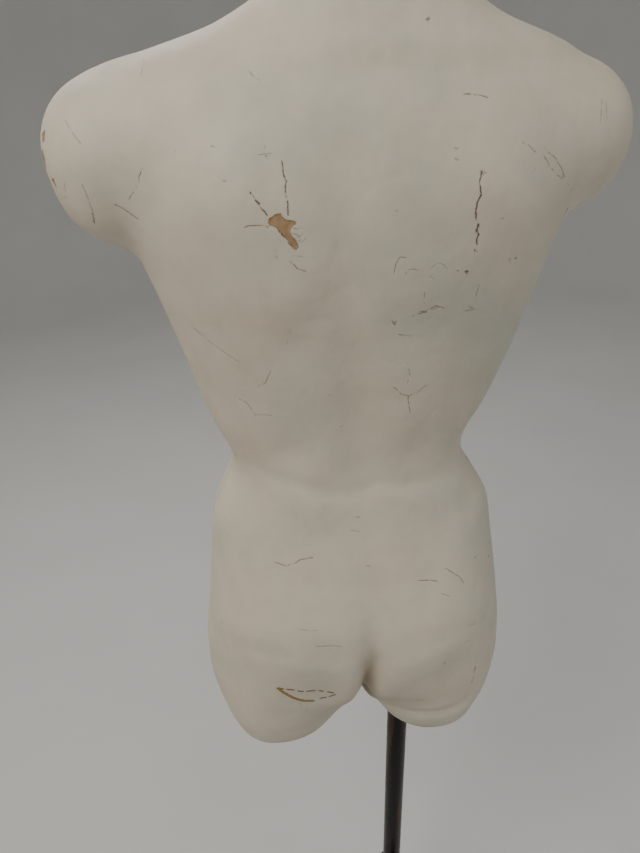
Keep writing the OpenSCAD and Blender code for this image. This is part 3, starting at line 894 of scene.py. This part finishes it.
# Each side's marks: the axis across the marks, the axis and direction that its surface faces
SIDES = [
    (0, 1, 1, BACK_LINES, BACK_PATCHES),
    (
        0, 1, -1,
        random_lines(44, (-190, 190), (-360, 350)),
        random_patches(26, (-170, 170), (-360, 340)),
    ),
    (1, 0, 1, random_lines(16, (-70, 60), (-350, 330)), LEFT_PATCHES),
    (
        1, 0, -1,
        random_lines(16, (-70, 60), (-350, 330)),
        random_patches(10, (-60, 5), (-360, 330)),
    ),
]


def segment_distance(p, q, a, b):
    """Signed and plain distance from points to segment a-b."""
    dx, dz = b[0] - a[0], b[1] - a[1]
    length = math.hypot(dx, dz)
    t = np.clip(((p - a[0]) * dx + (q - a[1]) * dz) / length**2, 0, 1)
    far = np.hypot(p - a[0] - t * dx, q - a[1] - t * dz)
    side = (dx * (q - a[1]) - dz * (p - a[0])) / length
    return np.where(side < 0, -1.0, 1.0) * far, far


def line_fields(p, q, lines, near, across, dark):
    """Lowers near to each line's distance, less its half width, with its signed partner."""
    for half, darkness, *points in lines:
        half = half * CRACK_SCALE
        for a, b in zip(points, points[1:]):
            signed, far = segment_distance(p, q, a, b)
            closer = far < near
            near = np.where(closer, far, near)
            across = np.where(closer, signed / half, across)
            dark = np.where(closer, darkness, dark)
    return near, across, dark


def polygon_distance(p, q, corners):
    """Distance to an outline, negative inside it."""
    best = np.full_like(p, 1e9)
    inside = np.zeros(p.shape, bool)
    for a, b in zip(corners, corners[1:] + corners[:1]):
        best = np.minimum(best, segment_distance(p, q, a, b)[1])
        crosses = (a[1] > q) != (b[1] > q)
        height = b[1] - a[1] if b[1] != a[1] else 1e-9
        at = (b[0] - a[0]) * (q - a[1]) / height + a[0]
        inside ^= crosses & (p < at)
    return np.where(inside, -best, best)


def mark_fields(points, normals):
    """Per vertex: distance to the nearest crack, its signed partner, and distance to a chip."""
    near = np.full(len(points), 60.0)
    across = np.full(len(points), 60.0)
    dark = np.zeros(len(points))
    patch = np.full(len(points), 30.0)
    for flat_axis, face_axis, direction, lines, patches in SIDES:
        seen = np.nonzero(normals[:, face_axis] * direction > 0.45)[0]
        p = points[seen, flat_axis]
        q = points[seen, 2]
        near[seen], across[seen], dark[seen] = line_fields(
            p, q, lines, near[seen], across[seen], dark[seen]
        )
        best = patch[seen]
        for corners in patches:
            best = np.minimum(best, polygon_distance(p, q, corners))
        patch[seen] = best
    return near, across, dark, patch


def vertex_arrays(bm):
    bm.normal_update()
    points = np.array([v.co[:] for v in bm.verts])
    normals = np.array([v.normal[:] for v in bm.verts])
    return points, normals


def subdivide_near_marks(bm, reach):
    """Splits the faces that lie within reach of a mark on the outer surface."""
    points, normals = vertex_arrays(bm)
    near, _, _, patch = mark_fields(points, normals)
    gold = gold_field(points, normals)
    close = (near < reach) | (np.abs(patch) < reach) | (gold < reach)
    bm.verts.ensure_lookup_table()
    faces = {f for i in np.nonzero(close)[0] for f in bm.verts[i].link_faces}
    edges = {e for f in faces for e in f.edges}
    made = bmesh.ops.subdivide_edges(bm, edges=list(edges), cuts=1, use_grid_fill=True)
    fresh = [e for e in made["geom_inner"] if isinstance(e, bmesh.types.BMVert)]
    bmesh.ops.smooth_vert(
        bm, verts=fresh, factor=0.5, use_axis_x=True, use_axis_y=True, use_axis_z=True
    )


def cut(bm, place, normal, keep_below):
    """Cuts the mesh flat at place and closes the cut."""
    geometry = bm.verts[:] + bm.edges[:] + bm.faces[:]
    made = bmesh.ops.bisect_plane(
        bm, geom=geometry, dist=1e-4, plane_co=place, plane_no=normal,
        clear_outer=keep_below, clear_inner=not keep_below,
    )
    rim = [e for e in made["geom_cut"] if isinstance(e, bmesh.types.BMEdge) and e.is_boundary]
    outward = Vector(normal) * (1 if keep_below else -1)
    bmesh.ops.triangle_fill(bm, use_beauty=True, use_dissolve=False, edges=rim, normal=outward)
    for edge in rim:
        edge.smooth = False


def dust_and_painted_shade_field(points, normals):
    """Darkening per vertex: painted shade in the cleft, the crotch and under the stumps, dust on what
    faces up, and a dark line at the seam.
    """
    x, y, z = points.T
    # painted shade in the cleft between the buttocks, and between the thighs below it
    cleft = np.exp(-((x + 4) ** 2) / 60.0) * step_up(-z, 150, 230) * (y > 10)
    crotch = np.exp(-(x / 22.0) ** 2) * step_up(-z, 255, 290)
    # dust on the faces that look up
    up = step_up(normals[:, 2], 0.35, 0.9) * 0.35
    # painted shade on the downward faces at the bottom of the stumps
    sole = step_up(-normals[:, 2], 0.5, 0.9) * step_up(-z, 330, 380) * 0.7
    # a dark line along the side seam
    seam = np.exp(-((y / 1.6) ** 2)) * 0.5
    return np.clip(cleft + crotch * 0.6 + up + sole + seam, 0, 1)


def gold_field(points, normals):
    """Distance to the golden varnish on the left buttock, negative inside it."""
    p, q = points[:, 0], points[:, 2]
    far = np.full(len(points), 9.0)
    for half, *line in BACK_GOLD:
        for a, b in zip(line, line[1:]):
            far = np.minimum(far, segment_distance(p, q, a, b)[1] - half)
    return np.where(normals[:, 1] > 0.2, far, 9.0)


def in_frame(point):
    """A point in the figure's millimetres, in the frame's metres."""
    return Vector((MIDDLE_X + point[0] * MM, point[1] * MM, WAIST_Z + point[2] * MM))


def torso_half(source, name, direction, node):
    """One half of the figure as its own piece: direction is 1 behind the seam, -1 in front."""
    bm = source.copy()
    cut(bm, (0, 0, 0), (0, 1, 0), direction < 0)
    subdivide_near_marks(bm, 3.2)
    subdivide_near_marks(bm, 2.0)
    points, normals = vertex_arrays(bm)
    near, across, dark, patch = mark_fields(points, normals)
    sink = 0.20 * dark * np.clip(1.2 - near, 0, 1) + 0.55 * step_up(-patch, -0.4, 0.8)
    for vertex, depth in zip(bm.verts, sink):
        if depth > 0:
            vertex.co -= vertex.normal * float(depth)
    for vertex in bm.verts:
        vertex.co = in_frame(vertex.co)
    mesh = mesh_from(bm, name)
    for label, values in (
        ("line_near", near), ("line_across", across), ("line_dark", dark), ("patch", patch),
        ("dust_and_painted_shade", dust_and_painted_shade_field(points, normals)), ("gold", gold_field(points, normals)),
    ):
        layer = mesh.attributes.new(label, "FLOAT", "POINT")
        layer.data.foreach_set("value", values.astype(np.float32))
    mesh.shade_smooth()
    keep_sharp_rims(mesh)
    place_piece(mesh, name, "torso", node, "aged_paint")


def keep_sharp_rims(mesh):
    """Marks edges over 50 degrees as sharp."""
    bm = bmesh.new()
    bm.from_mesh(mesh)
    for edge in bm.edges:
        if len(edge.link_faces) == 2 and edge.calc_face_angle(0.0) > math.radians(50):
            edge.smooth = False
    bm.to_mesh(mesh)
    bm.free()


def build_torso():
    """Both halves. Returns the outer surface's distance grid and its lowest corner."""
    field, body, low = figure_field()
    points, quads = mesh_of_field(field, low)
    mesh = bpy.data.meshes.new("whole_figure")
    mesh.from_pydata(points.tolist(), [], quads[:, ::-1].tolist())
    bm = bmesh.new()
    bm.from_mesh(mesh)
    bpy.data.meshes.remove(mesh)
    bmesh.ops.recalc_face_normals(bm, faces=bm.faces)
    cut(bm, (0, 0, NECK_TOP), (0, 0, 1), True)
    torso_half(bm, "torso_back", 1, "torso_back_shell")
    torso_half(bm, "torso_front", -1, "torso_front_shell")
    bm.free()
    return body, low


body_grid, grid_low = build_torso()


# ---------------------------------------------------------------- pieces glued inside


def grid_value(points):
    """The outer surface's distance at points, in the figure's millimetres."""
    place = (points - grid_low) / VOXEL
    place = np.clip(place, 0, np.array(body_grid.shape) - 1.001)
    corner = place.astype(int)
    part = place - corner
    total = np.zeros(len(points))
    for step in np.ndindex(2, 2, 2):
        weight = np.prod(np.where(np.array(step) == 1, part, 1 - part), axis=1)
        i, j, k = (corner + step).T
        total += weight * body_grid[i, j, k]
    return total


def fitted_inside(node, slot, flat, gap):
    """A copy of a CAD node drawn in until it lies inside the hollow figure.

    flat keeps its faces level. gap is the least distance to the wall's inside.
    """
    bm = cad_copy(node)
    points = np.array([v.co[:] for v in bm.verts])
    points = (points - np.array([MIDDLE_X, 0.0, WAIST_Z])) / MM
    limit = -(WALL + gap)
    nudge = 1.0
    for _ in range(12):
        value = grid_value(points)
        rise = [
            grid_value(points + nudge * axis) - grid_value(points - nudge * axis)
            for axis in np.eye(3)
        ]
        slope = np.stack(rise, axis=1) / (2 * nudge)
        if flat:
            slope[:, 2] = 0
        length = np.maximum(np.linalg.norm(slope, axis=1), 0.3)
        over = np.maximum(value - limit, 0)
        points -= slope / length[:, None] * over[:, None]
    for vertex, place in zip(bm.verts, points):
        vertex.co = in_frame(place)
    name = node + "_fitted"
    place_piece(mesh_from(bm, name), name, "torso", node, slot)


# The node's material slot, whether its faces stay level, and its least gap to the wall
FITTED = {
    "hip_board": ("board_wood", True, 2.0),
    "thigh_board": ("board_wood", True, 2.0),
    "seam_strips": ("seam_cloth", False, 1.0),
}

for node_name, (slot_name, stays_flat, wall_gap) in FITTED.items():
    fitted_inside(node_name, slot_name, stays_flat, wall_gap)


# ---------------------------------------------------------------- turned and cast parts


def softened(node, body, bevel, slot):
    """A copy of a CAD node with its sharp edges rounded, in its place."""
    bm = cad_copy(node)
    bmesh.ops.dissolve_limit(
        bm, angle_limit=math.radians(0.6), verts=bm.verts, edges=bm.edges
    )
    sharp = [
        e for e in bm.edges
        if len(e.link_faces) == 2 and e.calc_face_angle(0.0) > math.radians(28)
    ]
    bmesh.ops.bevel(
        bm, geom=sharp, offset=bevel, segments=3, profile=0.5,
        affect="EDGES", clamp_overlap=True,
    )
    for edge in bm.edges:
        steep = len(edge.link_faces) == 2 and edge.calc_face_angle(0.0) > math.radians(32)
        edge.smooth = not steep
    name = node + "_finished"
    mesh = mesh_from(bm, name)
    mesh.shade_smooth()
    place_piece(mesh, name, body, node, slot)


# The node's body, how round its edges are in metres, and its material slot
REPLACED = {
    "base_plate": ("stand", 0.0008, "base_enamel"),
    "base_hub": ("stand", 0.0006, "base_enamel"),
    "clamp_collar": ("stand", 0.0008, "dark_bronze"),
    "clamp_knob": ("clamp_knob", 0.0012, "black_plastic"),
    "neck_cap": ("torso", 0.0008, "dark_bronze"),
    "torso_lock_screw": ("lock_screw", 0.0005, "screw_steel"),
    "hub_bolts": ("stand", 0.0005, "screw_steel"),
    "pole_bush": ("stand", 0.0005, "black_plastic"),
}

for node_name, (body_name, edge_radius, slot_name) in REPLACED.items():
    softened(node_name, body_name, edge_radius, slot_name)


def repaint_cad():
    """Gives every other CAD node the finish of its material slot."""
    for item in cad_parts.values():
        if item.name in REPLACED or item.name in FITTED:
            continue
        for material_slot in item.material_slots:
            name = material_slot.material.name.split(".")[0] if material_slot.material else ""
            if name in FINISH:
                material_slot.material = FINISH[name]


repaint_cad()


# ---------------------------------------------------------------- stage and light


def add_stage():
    """Pale round floor that curves up into a wall all round."""
    floor_r, bend_r, top, sides = 4.4, 1.8, 6.0, 96
    profile = [(0.6, 0.0), (2.5, 0.0), (floor_r, 0.0)]
    for i in range(1, 17):
        turn = math.radians(90.0 * i / 16)
        profile.append((floor_r + bend_r * math.sin(turn), bend_r * (1 - math.cos(turn))))
    profile.append((floor_r + bend_r, top))
    points = [(0.0, 0.0, 0.0)]
    for radius, z in profile:
        for i in range(sides):
            turn = 2 * math.pi * i / sides
            points.append((radius * math.cos(turn), radius * math.sin(turn), z))
    faces = [(0, 1 + i, 1 + (i + 1) % sides) for i in range(sides)]
    for ring in range(len(profile) - 1):
        for i in range(sides):
            a = 1 + ring * sides + i
            b = 1 + ring * sides + (i + 1) % sides
            faces.append((a, a + sides, b + sides, b))
    mesh = bpy.data.meshes.new("stage_floor")
    mesh.from_pydata(points, [], faces)
    mesh.shade_smooth()
    mesh.materials.append(floor_paint())
    floor = bpy.data.objects.new("stage_floor", mesh)
    bpy.context.collection.objects.link(floor)


def add_light(name, place, target, size, power, colour):
    data = bpy.data.lights.new(name, "AREA")
    data.shape = "SQUARE"
    data.size = size
    data.energy = power
    data.color = colour
    light = bpy.data.objects.new(name, data)
    bpy.context.collection.objects.link(light)
    light.location = place
    aim = Vector(target) - Vector(place)
    light.rotation_euler = aim.to_track_quat("-Z", "Y").to_euler()


def add_world():
    world = bpy.data.worlds.new("studio")
    world.use_nodes = True
    background = world.node_tree.nodes["Background"]
    background.inputs["Color"].default_value = (0.80, 0.84, 0.90, 1.0)
    background.inputs["Strength"].default_value = 0.24
    bpy.context.scene.world = world


add_stage()
add_world()
add_light("key", (1.5, 1.2, 2.9), (0.06, 0.0, 1.05), 1.3, 42.0, (1.0, 0.97, 0.91))
add_light("overhead", (0.0, 0.0, 5.4), (0.0, 0.0, 0.0), 7.0, 112.0, (0.98, 1.0, 0.98))
add_light("fill", (-2.0, 1.5, 1.5), (0.06, 0.0, 1.0), 1.6, 11.0, (0.90, 0.95, 1.0))
add_light("front", (0.8, -1.5, 2.6), (0.0, 0.0, 1.0), 1.4, 16.0, (1.0, 0.98, 0.95))
